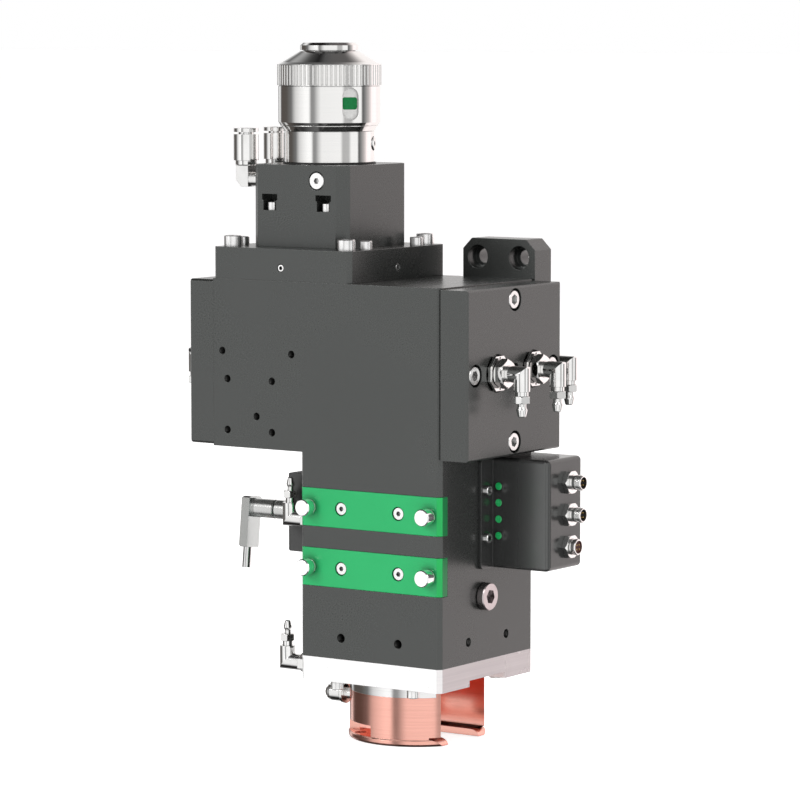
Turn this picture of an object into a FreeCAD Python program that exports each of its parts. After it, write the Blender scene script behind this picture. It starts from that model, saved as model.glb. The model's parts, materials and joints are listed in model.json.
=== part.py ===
import FreeCAD, Part
import os
import math

# Laser processing head with a fibre receiver, folded beam path, two window drawers
# and a copper cross-jet shroud.  Millimetres, +Z up.
# Origin: output beam axis at the underside of the aluminium nozzle plate.
# -Y is the front face with the drawers, +X the side with the connector box,
# the mounting plate stands on the +Y side.

V = FreeCAD.Vector

# ---------------------------------------------------------------- driving sizes
BW = 92.0                 # square section of the body
H = BW / 2                # half section
CH = 2.3                  # vertical corner chamfer of the body
NP_T = 12.9               # nozzle plate thickness, z 0..NP_T
LB_TOP = 124.5            # top of the narrow part, underside of the wide part
WB_L = -104.4             # left end of the wide part
WB_TOP = 216.9            # top of the wide part
AX_IN = -58.5             # x of the input (fibre) axis
ZB = 170.7                # height of the horizontal beam between the mirrors
CT_Z1 = 234.3             # top of the centring plate
CB_Z1 = 279.4             # top of the collimator block
CB_H = 31.8               # half width of the collimator block
CB_Y = 0.5                # its centre in y
CB_CH = 5.8               # its corner chamfer
COV_Z0, COV_Z1 = 125.3, 216.1   # end covers
COV_T = 17.3              # right cover thickness
COVL_T = 16.8             # left cover thickness
DR_Z = (95.0, 62.4)       # drawer centre heights
DR_H = 20.8               # drawer front height
DR_T = 7.0                # drawer front thickness
RP_X0, RP_X1 = -0.5, 46.5 # rear mounting plate
RP_Y1 = 62.5
RP_Z0, RP_Z1 = 128.0, 238.3
RP_HX = (9.2, 36.2)       # its two mounting holes
RP_HZ = 228.1
EB_X1 = 83.5              # electronics box
EB_Y0, EB_Y1 = 2.1, 36.6
EB_Z0, EB_Z1 = 62.9, 123.1
SH_R = 37.0               # shroud outer radius
SH_CH = 21.5              # half width of its air channel
FL_CH = 15.0              # half width of the channel in its foot flange
FZT, FZB = -29.8, -33.5   # foot flange, top and bottom
PORT_Y = (17.8, 18.4)     # hose port offset, right and left cover
CHAMBER_R = 31.0          # mirror chamber
BORE_R = 17.0             # beam bore in the lower body

os.makedirs("parts", exist_ok=True)
NODES = {}


# ---------------------------------------------------------------- small helpers
def box(x0, x1, y0, y1, z0, z1):
    return Part.makeBox(x1 - x0, y1 - y0, z1 - z0, V(x0, y0, z0))


def cyl(p, d, r, h):
    return Part.makeCylinder(r, h, V(*p), V(*d))


def tube(p, d, ro, ri, h):
    return cyl(p, d, ro, h).cut(cyl(p, d, ri, h))


def prism(pts, z0, z1):
    w = Part.makePolygon([V(x, y, z0) for x, y in pts] + [V(pts[0][0], pts[0][1], z0)])
    return Part.Face(w).extrude(V(0, 0, z1 - z0))


def block(x0, x1, y0, y1, z0, z1, c):
    """Box with its four vertical edges chamfered by c (one number or one per corner
    in the order front-left, front-right, back-right, back-left)."""
    c = [c] * 4 if not isinstance(c, (list, tuple)) else list(c)
    pts = []
    for (x, y, sx, sy, k, order) in ((x0, y0, 1, 1, c[0], 0), (x1, y0, -1, 1, c[1], 1),
                                     (x1, y1, -1, -1, c[2], 0), (x0, y1, 1, -1, c[3], 1)):
        if k <= 0:
            pts.append((x, y))
            continue
        a = (x, y + sy * k)
        b = (x + sx * k, y)
        pts += [a, b] if order == 0 else [b, a]
    return prism(pts, z0, z1)


def revolve(profile, axis_x=0.0, axis_y=0.0):
    """Solid of revolution about a vertical axis from (r, z) points."""
    pts = [V(axis_x + r, axis_y, z) for r, z in profile]
    w = Part.makePolygon(pts + [pts[0]])
    return Part.Face(w).revolve(V(axis_x, axis_y, 0), V(0, 0, 1), 360)


def lathe(profile, pos, axis):
    """Solid of revolution about `axis` through pos from (r, s) points, s along the axis."""
    s = revolve(profile)
    return place(s, pos, axis)


def place(shape, pos, axis=(0, 0, 1), spin=0.0):
    rot = FreeCAD.Rotation(V(0, 0, 1), V(*axis)).multiply(FreeCAD.Rotation(V(0, 0, 1), spin))
    m = FreeCAD.Placement(V(*pos), rot).toMatrix()
    return shape.transformGeometry(m) if False else shape.transformed(m, True)


def hexagon(af, h, z0=0.0):
    r = af / math.sqrt(3.0)
    pts = [(r * math.cos(math.radians(60 * k)), r * math.sin(math.radians(60 * k))) for k in range(6)]
    return prism(pts, z0, z0 + h)


def cap_screw(pos, axis, d, hd, hh, length, key, spin=0.0):
    """Socket cap screw: seat at pos, head along axis, plain shank the other way."""
    head = revolve([(0, 0), (hd / 2, 0), (hd / 2, hh - 0.35), (hd / 2 - 0.35, hh), (0, hh)])
    head = head.cut(hexagon(key, hh, hh * 0.42))
    shank = revolve([(0, -length), (d / 2 - 0.5, -length), (d / 2, -length + 0.5), (d / 2, 0), (0, 0)])
    return place(head.fuse(shank), pos, axis, spin)


def flat_screw(pos, axis, d, hd, length, key, spin=0.0):
    """Countersunk socket screw with its face at pos, body the other way."""
    hh = (hd - d) / 2
    s = revolve([(0, -length), (d / 2, -length), (d / 2, -hh - 0.4), (hd / 2, -0.4), (hd / 2, 0), (0, 0)])
    s = s.cut(hexagon(key, 3.0, -1.6))
    return place(s, pos, axis, spin)


def bevelled(shape, size, pick):
    """Chamfer the edges of shape for which pick(edge centre, edge) is true."""
    es = [e for e in shape.Edges if pick(e.CenterOfMass, e)]
    return shape.makeChamfer(size, es) if es else shape


def rounded(shape, size, pick):
    es = [e for e in shape.Edges if pick(e.CenterOfMass, e)]
    return shape.makeFillet(size, es) if es else shape


def one(shape):
    """First solid of a boolean result that has one solid."""
    shape = shape.removeSplitter()
    if len(shape.Solids) != 1:
        raise RuntimeError("expected one solid, got %d" % len(shape.Solids))
    return shape.Solids[0]


def put(name, shape, many=False):
    if isinstance(shape, (list, tuple)):
        sol = []
        for s in shape:
            sol += s.Solids
    elif many:
        sol = shape.Solids
    else:
        sol = [one(shape)]
    for s in sol:
        if not s.isValid() or s.Volume <= 0:
            raise RuntimeError("bad solid in " + name)
    out = sol[0] if len(sol) == 1 else Part.makeCompound(sol)
    NODES[name] = sol
    out.exportStep("parts/" + name + ".step")
    bb = out.BoundBox
    print("%-30s n=%d vol=%9.1f  x %.1f..%.1f  y %.1f..%.1f  z %.1f..%.1f" % (
        name, len(sol), sum(s.Volume for s in sol), bb.XMin, bb.XMax, bb.YMin, bb.YMax, bb.ZMin, bb.ZMax))


def along(axis, pos, s):
    return (pos[0] + axis[0] * s, pos[1] + axis[1] * s, pos[2] + axis[2] * s)


# ================================================================= main body
# one machined block: narrow lower column and the wide part above it
low = block(-H, H, -H, H, NP_T, LB_TOP, CH)
wide = block(WB_L, H, -H, H, LB_TOP, WB_TOP, [0, CH, CH, 0])
body = low.fuse(wide)
# mirror chamber through the wide part, input bore from the top, output bore down
body = body.cut(cyl((WB_L - 1, 0, ZB), (1, 0, 0), CHAMBER_R, H - WB_L + 2))
body = body.cut(cyl((AX_IN, 0, ZB), (0, 0, 1), 20.0, WB_TOP - ZB + 1))
body = body.cut(cyl((0, 0, 108.0), (0, 0, 1), 21.1, ZB - 108.0))
body = body.cut(cyl((0, 0, NP_T - 1), (0, 0, 1), BORE_R, 110.0))
for zc in DR_Z:
    # notch for the drawer front, slot for its tray, holes for the thumb screws
    body = body.cut(box(-H - 1, H + 1, -H - 1, -H + DR_T + 0.1, zc - DR_H / 2 - 0.15, zc + DR_H / 2 + 0.15))
    body = body.cut(box(-27.2, 27.2, -H, 28.5, zc - 7.3, zc + 7.3))
    for sx in (-1, 1):
        body = body.cut(cyl((sx * 39.0, -H, zc), (0, 1, 0), 2.1, 22.0))
# accessory holes in the wide front face
FRONT_HOLES = [(-98.3, 177.2), (-51.5, 177.2), (-94.8, 161.9), (-64.6, 161.9), (-75.0, 142.1), (-94.8, 133.8), (-64.6, 133.8)]
for x, z in FRONT_HOLES:
    body = body.cut(cyl((x, -H - 1, z), (0, 1, 0), 2.1, 10.0))
# accessory holes near the foot, front and right side
for s in (-18.7, 18.7):
    body = body.cut(cyl((s, -H - 1, 24.5), (0, 1, 0), 2.5, 12.0))
    body = body.cut(cyl((H + 1, s, 24.5), (-1, 0, 0), 2.5, 12.0))
# purge port with its screw plug on the right side
body = body.cut(cyl((H + 1, -3.5, 47.8), (-1, 0, 0), 4.9, 13.0))
body = body.cut(cyl((H + 1, -3.5, 47.8), (-1, 0, 0), 2.0, 31.5))
# end cover screws
COVER_SCREWS = [(0, 38.3), (0, -38.3), (38.4, 0), (-38.4, 0)]
for dy, dz in COVER_SCREWS:
    body = body.cut(cyl((H + 1, dy, ZB + dz), (-1, 0, 0), 3.1, 16.5))
    body = body.cut(cyl((WB_L - 1, dy, ZB + dz), (1, 0, 0), 3.1, 16.5))
# centring plate screws
CT_BIG = [(AX_IN + sx * 38.0, sy * 38.0) for sx in (-1, 1) for sy in (-1, 1)]
CT_SMALL = [(AX_IN + sx * 41.3, sy * 24.3) for sx in (-1, 1) for sy in (-1, 1)]
for x, y in CT_BIG:
    body = body.cut(cyl((x, y, WB_TOP - 11.0), (0, 0, 1), 3.1, 12.0))
for x, y in CT_SMALL:
    body = body.cut(cyl((x, y, WB_TOP - 7.5), (0, 0, 1), 2.1, 8.5))
# nozzle plate screws
NP_SCREWS = [(sx * 25.0, sy * 40.5) for sx in (-1, 1) for sy in (-1, 1)]
for x, y in NP_SCREWS:
    body = body.cut(cyl((x, y, NP_T - 1), (0, 0, 1), 2.1, 12.5))
# rear plate screws and its water port
RP_SCREWS = [(x, z) for x in (10.0, 36.0) for z in (137.0, 204.0)]
for x, z in RP_SCREWS:
    body = body.cut(cyl((x, H + 1, z), (0, -1, 0), 3.1, 17.0))
# electronics box flange screws, sensor port and hose port on the sides
EB_SCREWS = [(y, z) for y in (-5.2, 41.0) for z in (105.7, 79.8)]
for y, z in EB_SCREWS:
    body = body.cut(cyl((H + 1, y, z), (-1, 0, 0), 1.6, 17.5))
body = body.cut(cyl((H + 1, 19.3, 93.0), (-1, 0, 0), 5.0, 12.0))
SENS_Y, SENS_Z = -17.0, 87.5
body = body.cut(cyl((-H - 1, -33.4, 85.9), (1, 0, 0), 2.6, 7.0))
SENS_SCREWS = [(-17.0, 105.5), (-17.0, 71.0)]
for y, z in SENS_SCREWS:
    body = body.cut(cyl((-H - 1, y, z), (1, 0, 0), 1.6, 12.5))
put("main_body", body)

# ================================================================= end covers with mirrors
def end_cover(side):
    """Cover plate with a spot-faced pair of hose ports; side +1 right, -1 left."""
    x_in = H if side > 0 else WB_L
    t = COV_T if side > 0 else COVL_T
    x_out = x_in + side * t
    xa, xb = min(x_in, x_out), max(x_in, x_out)
    c = box(xa, xb, -H, H, COV_Z0, COV_Z1)
    b = 0.9 if side > 0 else 1.6
    c = bevelled(c, b, lambda p, e: abs(p.x - x_out) < 1e-6)
    if side < 0:
        c = bevelled(c, 1.2, lambda p, e: abs(p.x - (x_in + x_out) / 2) < 1.5)
    for dy, dz in COVER_SCREWS:
        c = c.cut(cyl((x_in - side, dy, ZB + dz), (side, 0, 0), 3.2, t + 2))
        c = c.cut(cyl((x_out - side * 6.4, dy, ZB + dz), (side, 0, 0), 6.15, 8))
    py = PORT_Y[0] if side > 0 else PORT_Y[1]
    for y in (-py, py):
        c = c.cut(cyl((x_out - side * 1.6, y, ZB), (side, 0, 0), 10.3, 3))
        c = c.cut(cyl((x_in - side, y, ZB), (side, 0, 0), 4.1, t + 2))
    # blind centre hole between the ports
    c = c.cut(cyl((x_out - side * 9.0, 0, ZB), (side, 0, 0), 4.4, 10))
    return c


def mirror_mount(side):
    """Turned wedge on the inside of the cover that carries the 45 degree mirror."""
    x_in = H if side > 0 else WB_L
    xm = 0.0 if side > 0 else AX_IN
    length = abs(x_in - xm) + 26
    m = cyl((x_in, 0, ZB), (-side, 0, 0), 28.0, length)
    # keep only what lies behind the mirror's back plane
    n = V(-side, 0, -side) if side > 0 else V(1, 0, 1)
    n.normalize()
    back = V(xm, 0, ZB) - n * 8.0
    big = Part.makeBox(160, 160, 160, V(-80, -80, 0))
    rot = FreeCAD.Rotation(V(0, 0, 1), n)
    big = big.transformed(FreeCAD.Placement(back, rot).toMatrix(), True)
    m = m.cut(big)
    # water pocket behind the mirror, fed by both ports
    py = PORT_Y[0] if side > 0 else PORT_Y[1]
    for y in (-py, py):
        m = m.cut(cyl((x_in + side, y, ZB), (-side, 0, 0), 4.1, 22.0))
    m = m.cut(cyl((x_in - side * 15.0, -22.0, ZB), (0, 1, 0), 3.0, 44.0))
    return m, n


def mirror_disc(side, n):
    xm = 0.0 if side > 0 else AX_IN
    return lathe([(0, 0), (19.3, 0), (19.8, -0.5), (19.8, -7.9), (0, -7.9)], (xm, 0, ZB), (n.x, n.y, n.z))


mirrors, m6, m4, m3 = [], [], [], []
for side, nm in ((1, "right"), (-1, "left")):
    mount, nrm = mirror_mount(side)
    put(nm + "_end_cover", end_cover(side).fuse(mount))
    mirrors.append(mirror_disc(side, nrm))
    x_out = H + COV_T if side > 0 else WB_L - COVL_T
    m6 += [cap_screw((x_out - side * 6.4, dy, ZB + dz), (side, 0, 0), 6.0, 10.0, 6.0, 25.0, 5.0, 12 * k)
           for k, (dy, dz) in enumerate(COVER_SCREWS)]
put("fold_mirrors", mirrors)

# ================================================================= hose fittings
def frame_matrix(pos, n, b):
    """Local x = barb direction b, local z = wall normal n."""
    n = V(*n)
    b = V(*b)
    c = n.cross(b)
    return FreeCAD.Matrix(b.x, c.x, n.x, pos[0], b.y, c.y, n.y, pos[1], b.z, c.z, n.z, pos[2], 0, 0, 0, 1)


def plate_xz(pts, half):
    """Flat prism from (x, z) points, reaching half to each side in y."""
    w = Part.makePolygon([V(x, -half, z) for x, z in pts] + [V(pts[0][0], -half, pts[0][1])])
    return Part.Face(w).extrude(V(0, 2 * half, 0))


def hose_elbow(pos, n, b, big, disc=True):
    """Stud elbow with hose barb.  Local z leaves the wall, local x is the barb.
    Gives the elbow and its clamp nut."""
    if big:
        d0, r, low = 17.5, 4.5, 4.2          # spot face floor to barb axis, radius of both limbs
        neck, flare, top, af = 3.6, 3.0, 8.9, 8.4
        stem = revolve([(0, -7.0), (4.0, -7.0), (4.0, 0.0), (6.4, 0.0), (6.4, 4.2), (0, 4.2)])
        flange = prism([(10.0 * math.cos(math.radians(22.5 + 45 * k)), 10.0 * math.sin(math.radians(22.5 + 45 * k)))
                        for k in range(8)], 0.0, 3.7)
        # two small spanner holes in the face of the eight-sided disc
        for s_ in (-1, 1):
            flange = flange.cut(cyl((s_ * 8.2, 0, 2.4), (0, 0, 1), 0.65, 2.0))
        nut = hexagon(14.0, 5.1, 4.1)
        nut = nut.common(revolve([(0, 4.1), (7.1, 4.1), (8.1, 4.9), (8.1, 8.4), (7.1, 9.2), (0, 9.2)]))
        stem = stem.fuse(nut)
        if disc:
            stem = stem.fuse(flange)
    else:
        d0, r, low = 15.2, 4.4, 5.0
        neck, flare, top, af = 2.8, 2.3, 8.7, 7.2
        stem = revolve([(0, -5.0), (2.5, -5.0), (2.5, 0.0), (3.0, 0.0), (3.0, 1.2), (0, 1.2)])
        stem = stem.fuse(hexagon(9.0, 4.6, 1.0))
    # two round limbs of one radius meeting in a mitre, outer corner cut off, web inside
    arm = cyl((0, 0, low), (0, 0, 1), r, d0 - low + 2 * r).common(plate_xz([(-12, d0 + 12), (12, d0 - 12), (12, -20), (-12, -20)], 12))
    leg = cyl((-2 * r, 0, d0), (1, 0, 0), r, 2 * r + top).common(plate_xz([(-12, d0 + 12), (12, d0 - 12), (40, d0 - 12), (40, d0 + 12)], 12))
    web = plate_xz([(0, d0), (0, d0 - r - 1.8), (r + 1.8, d0)], 0.42 * r)
    b_ = revolve([(0, 5.0), (neck, 5.0), (neck, 11.3), (flare - 0.6, 11.3), (flare - 0.6, 17.2), (flare, 18.6),
                  (flare, 19.2), (flare - 0.7, 22.1), (flare - 1.0, 22.5), (0, 22.5)])
    turn = FreeCAD.Placement(V(0, 0, d0), FreeCAD.Rotation(V(0, 0, 1), V(1, 0, 0))).toMatrix()
    b_ = b_.transformed(turn, True)
    bore = cyl((2.0, 0, d0), (1, 0, 0), 1.1, 22.0)
    bore2 = cyl((0, 0, -8.0), (0, 0, 1), 1.6, d0 + 8.0)
    elbow = stem.fuse(arm).fuse(leg).fuse(web).fuse(b_)
    elbow = elbow.cut(plate_xz([(-r - 2, d0 + r - 3.0), (-r + 3.0, d0 + r + 2), (-r - 2, d0 + r + 2)], 12))
    elbow = elbow.cut(bore).cut(bore2)
    nut = hexagon(af, 3.9, 11.35).common(revolve([(0, 11.35), (af / 2, 11.35), (af / 2 + 0.65, 11.9), (af / 2 + 0.65, 14.7), (af / 2, 15.25), (0, 15.25)]))
    nut = nut.cut(cyl((0, 0, 11), (0, 0, 1), flare - 0.55, 5))
    nut = nut.transformed(turn, True)
    m = frame_matrix(pos, n, b)
    return elbow.transformed(m, True), nut.transformed(m, True)


elbows, nuts = [], []
XR = H + COV_T - 1.6
XL = WB_L - COVL_T + 1.6
for pos, n, b, big in (((XR, -PORT_Y[0], ZB), (1, 0, 0), (0, 0, -1), True),
                       ((XR, PORT_Y[0], ZB), (1, 0, 0), (0, 0, -1), True),
                       ((XL, -PORT_Y[1], ZB), (-1, 0, 0), (0, 0, -1), True),
                       ((XL, PORT_Y[1], ZB), (-1, 0, 0), (0, 0, -1), True),
                       ((RP_X1, 54.0, ZB), (1, 0, 0), (0, 0, -1), True),
                       ((-H, -33.4, 85.9), (-1, 0, 0), (0, 0, 1), False),
                       ((-H, -36.5, 7.0), (-1, 0, 0), (0, 0, 1), False)):
    e, n_ = hose_elbow(pos, n, b, big, pos[1] < H)
    elbows.append(one(e))
    nuts.append(one(n_))
put("hose_elbows", elbows)
put("hose_clamp_nuts", nuts)

# ================================================================= rear mounting plate
rp = box(RP_X0, RP_X1, H, RP_Y1, RP_Z0, RP_Z1)
rp = bevelled(rp, 5.8, lambda p, e: abs(p.z - RP_Z1) < 1e-6 and abs(p.y - (H + RP_Y1) / 2) < 0.1)
for x in RP_HX:
    rp = rp.cut(cyl((x, H - 1, RP_HZ), (0, 1, 0), 4.2, 20))
    rp = rp.cut(cyl((x, H - 1, RP_HZ), (0, 1, 0), 6.5, 9.0))
for x, z in RP_SCREWS:
    rp = rp.cut(cyl((x, H - 1, z), (0, 1, 0), 3.2, 20))
    rp = rp.cut(cyl((x, RP_Y1 + 1, z), (0, -1, 0), 5.6, 7.6))
# dowel holes in the back and the water channel behind the hose elbow
for z in (150.0, 191.0):
    rp = rp.cut(cyl((23.0, RP_Y1 + 1, z), (0, -1, 0), 3.0, 9.0))
rp = rp.cut(cyl((RP_X1 + 1, 54.0, ZB), (-1, 0, 0), 4.1, 10.0))
rp = rp.cut(cyl((RP_X1 + 1, 54.0, ZB), (-1, 0, 0), 2.0, 40.0))
put("rear_mounting_plate", rp)
m6 += [cap_screw((x, RP_Y1 - 6.6, z), (0, 1, 0), 6.0, 10.0, 6.0, 25.0, 5.0, 15 * k)
       for k, (x, z) in enumerate(RP_SCREWS)]

# ================================================================= centring plate and lens adjustment
FR_X, FR_Y = 27.0, 25.0      # half size of the sliding frame
cp = block(AX_IN - H, AX_IN + H, -H, H, WB_TOP, CT_Z1, CH)
# pocket open below for the sliding frame, bore above it
cp = cp.cut(box(AX_IN - FR_X - 1.6, AX_IN + FR_X + 1.6, -FR_Y - 0.15, FR_Y + 0.15, WB_TOP - 1, WB_TOP + 12.0))
cp = cp.cut(cyl((AX_IN, 0, WB_TOP), (0, 0, 1), 17.0, 20))
for x, y in CT_BIG:
    cp = cp.cut(cyl((x, y, WB_TOP - 1), (0, 0, 1), 3.1, 20))
for x, y in CT_SMALL:
    cp = cp.cut(cyl((x, y, WB_TOP - 1), (0, 0, 1), 2.1, 20))
CT_ADJ_Z = WB_TOP + 7.0
# holes of the two adjusting screws, right and front
cp = cp.cut(cyl((AX_IN + H + 1, 0, CT_ADJ_Z), (-1, 0, 0), 2.25, 25))
cp = cp.cut(cyl((AX_IN, -H - 1, CT_ADJ_Z), (0, 1, 0), 2.25, 30))
CB_BOLTS = [(AX_IN + sx * 18.3, CB_Y + sy * 27.4) for sx in (-1, 1) for sy in (-1, 1)]
for x, y in CB_BOLTS:
    cp = cp.cut(cyl((x, y, CT_Z1 + 1), (0, 0, -1), 2.1, 5.2))
put("centring_plate", cp)
m6 += [cap_screw((x, y, CT_Z1), (0, 0, 1), 6.0, 10.0, 6.0, 25.0, 5.0, 20 * k) for k, (x, y) in enumerate(CT_BIG)]
put("m6_cap_screws", m6)
m4 += [cap_screw((x, y, CT_Z1), (0, 0, 1), 4.0, 7.0, 4.8, 23.0, 3.0, 20 * k) for k, (x, y) in enumerate(CT_SMALL)]

FZ0, FZ1 = WB_TOP + 0.2, WB_TOP + 11.8
frame = box(AX_IN - FR_X, AX_IN + FR_X, -FR_Y, FR_Y, FZ0, FZ1)
frame = frame.cut(box(AX_IN - 19.15, AX_IN + 19.15, -20.2, 20.2, FZ0 - 1, FZ1 + 1))
frame = frame.cut(cyl((AX_IN + FR_X + 1, 0, CT_ADJ_Z), (-1, 0, 0), 2.06, 9.5))
frame = frame.cut(cyl((AX_IN, -FR_Y - 1, CT_ADJ_Z), (0, 1, 0), 3.3, 6.5))
put("centring_frame", frame)
cell = block(AX_IN - 19.0, AX_IN + 19.0, -19.0, 19.0, FZ0 + 0.2, FZ1 - 0.2, 1.5)
cell = cell.cut(cyl((AX_IN, 0, FZ0 - 1), (0, 0, 1), 13.0, 20))
cell = cell.cut(cyl((AX_IN, 0, FZ0 + 3.0), (0, 0, 1), 15.1, 20))
# slot for the end of the front screw, long enough for the travel of the frame
cell = cell.cut(box(AX_IN - 3.2, AX_IN + 3.2, -20, -15.4, CT_ADJ_Z - 2.06, CT_ADJ_Z + 2.06))
put("collimator_lens_cell", cell)
lens = revolve([(0, FZ0 + 3.0), (15.0, FZ0 + 3.0), (15.0, FZ0 + 6.5), (12.5, FZ0 + 7.2), (9.0, FZ0 + 7.9), (4.5, FZ0 + 8.35), (0, FZ0 + 8.5)], AX_IN, 0)
put("collimator_lens", lens)
put("collimator_lens_ring", revolve([(13.4, FZ0 + 8.6), (15.0, FZ0 + 8.6), (15.0, FZ0 + 11.3), (13.4, FZ0 + 11.3)], AX_IN, 0))
# side adjuster: runs in the plate wall, its thread end sits in the frame
sx0 = AX_IN + H
scr = revolve([(0, -25.5), (2.0, -25.5), (2.0, -17.6), (2.1, -17.6), (2.1, -0.45), (1.8, -0.15), (0, -0.15)])
scr = scr.cut(hexagon(2.0, 3.0, -2.2))
put("side_centring_screw", place(scr, (sx0, 0, CT_ADJ_Z), (1, 0, 0)))
scr = revolve([(0, -29.2), (2.0, -29.2), (2.0, -20.8), (2.1, -20.8), (2.1, -0.45), (1.8, -0.15), (0, -0.15)])
scr = scr.cut(hexagon(2.0, 3.0, -2.2))
put("front_centring_screw", place(scr, (AX_IN, -H, CT_ADJ_Z), (0, -1, 0)))

# ================================================================= collimator block
cb = block(AX_IN - CB_H, AX_IN + CB_H, CB_Y - CB_H, CB_Y + CB_H, CT_Z1, CB_Z1, CB_CH)
cb = cb.cut(cyl((AX_IN, 0, CT_Z1 - 1), (0, 0, 1), 17.0, 60))
cb = cb.cut(cyl((AX_IN, 0, CB_Z1 - 12.0), (0, 0, 1), 20.0, 13))
# pockets for the block screws, front and back: square shaft with a wider mouth
for sx in (-1, 1):
    for sy in (-1, 1):
        x = AX_IN + sx * 18.0
        yf = CB_Y + sy * CB_H
        ys = CB_Y + sy * 22.0
        ya, yb = min(yf + sy, ys), max(yf + sy, ys)
        cb = cb.cut(box(x - 5.15, x + 5.15, ya, yb, 259.9, 263.2))
        cb = cb.cut(box(x - 4.3, x + 4.3, ya, yb, 254.3, 259.9))
        cb = cb.cut(cyl((AX_IN + sx * 18.3, CB_Y + sy * 27.4, CT_Z1 - 1), (0, 0, 1), 2.1, 22))
# lock screw of the receiver on the front face, hose ports on the left
cb = cb.cut(cyl((-44.9, CB_Y - CB_H - 1, 271.0), (0, 1, 0), 2.6, 14))
cb = cb.cut(cyl((-44.9, CB_Y - CB_H - 1, 271.0), (0, 1, 0), 5.2, 3.4))
for y in (-14.0, 14.0):
    cb = cb.cut(cyl((AX_IN - CB_H - 1, y, 270.2), (1, 0, 0), 4.9, 8.5))
    cb = cb.cut(cyl((AX_IN - CB_H - 1, y, 270.2), (1, 0, 0), 2.5, 12.0))
put("collimator_block", cb)
m4 += [cap_screw((x, y, 254.3), (0, 0, 1), 4.0, 7.0, 4.6, 23.0, 3.0, 10 * k) for k, (x, y) in enumerate(CB_BOLTS)]
lock_screw = cap_screw((-44.9, CB_Y - CB_H + 2.4, 271.0), (0, -1, 0), 5.0, 9.4, 2.6, 10.0, 3.0)

# ================================================================= fibre receiver
RZ = CB_Z1
put("receiver_seal", revolve([(21.0, RZ - 0.0), (25.6, RZ), (25.6, RZ + 0.8), (21.0, RZ + 0.8)], AX_IN, 0))
hous = revolve([(12.6, RZ - 11.5), (19.2, RZ - 11.5), (19.6, RZ - 11.0), (19.6, RZ), (20.8, RZ), (20.8, RZ + 0.8), (24.6, RZ + 0.8), (24.8, RZ + 1.1), (24.8, 297.2), (23.6, 297.2), (23.6, 300.6),
                (26.4, 300.6), (26.4, 331.0), (14.5, 331.0), (14.5, 341.5), (12.6, 341.5)], AX_IN, 0)
# seat for the small screw on the side of the neck
SD = V(0.9205, 0.3907, 0)
hous = hous.cut(cyl((AX_IN + 14.0 * SD.x, 14.0 * SD.y, 290.5), (SD.x, SD.y, 0), 1.55, 14))
hous = hous.cut(cyl((AX_IN + 23.6 * SD.x, 23.6 * SD.y, 290.5), (SD.x, SD.y, 0), 4.0, 6))
put("receiver_housing", hous)
put("receiver_screws", [lock_screw, cap_screw((AX_IN + 23.6 * SD.x, 23.6 * SD.y, 290.5), (SD.x, SD.y, 0), 3.0, 7.4, 1.9, 6.0, 2.5)])
# top collar with the connector guide bore
col = revolve([(12.6, 341.6), (16.0, 341.6), (16.0, 344.2), (14.4, 345.6), (13.4, 345.6), (12.6, 344.8)], AX_IN, 0)
put("receiver_top_collar", col)
# rotating lock ring: cone, plain sleeve with the indicator window, fluted band, upper cone
ring = revolve([(24.0, 297.5), (25.0, 297.5), (28.1, 302.2), (28.1, 321.9), (27.8, 321.9), (27.8, 322.3), (28.7, 322.3), (28.7, 333.8), (26.2, 335.0),
                (18.5, 339.6), (16.2, 341.0), (14.9, 341.0), (14.9, 336.5), (27.0, 331.6), (27.0, 300.2), (24.0, 300.2)], AX_IN, 0)
AZ_W = math.radians(60.0)            # window direction, from -Y towards +X
WD = V(math.sin(AZ_W), -math.cos(AZ_W), 0)
WT = V(math.cos(AZ_W), math.sin(AZ_W), 0)
wz0, wz1, wr = 303.6, 321.2, 4.8


def radial_prism(w_half, z0, z1, r_corner, r0, r1):
    """Rounded rectangle cut along the window direction from radius r0 to r1."""
    b = box(-w_half, w_half, 0, r1 - r0, z0, z1)
    es = [e for e in b.Edges if abs(e.CenterOfMass.y - (r1 - r0) / 2) < 1e-6]
    b = b.makeFillet(r_corner, es)
    m = FreeCAD.Matrix(WT.x, WD.x, 0, AX_IN + WD.x * r0, WT.y, WD.y, 0, WD.y * r0, 0, 0, 1, 0, 0, 0, 0, 1)
    return b.transformed(m, True)


ring = ring.cut(radial_prism(wr, wz0, wz1, wr - 0.01, 25.2, 32.0))
# fluted grip band: shallow vertical grooves
for k in range(72):
    a = math.radians(360.0 * (k + 0.5) / 72)
    c_ = cyl((AX_IN + 28.95 * math.cos(a), 28.95 * math.sin(a), 322.6), (0, 0, 1), 0.7, 10.9)
    ring = ring.cut(c_)
put("fibre_lock_ring", ring)
# indicator sleeve behind the window
ind = revolve([(26.45, 303.0), (26.95, 303.0), (26.95, 322.0), (26.45, 322.0)], AX_IN, 0)
put("lock_indicator_sleeve", ind)

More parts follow.
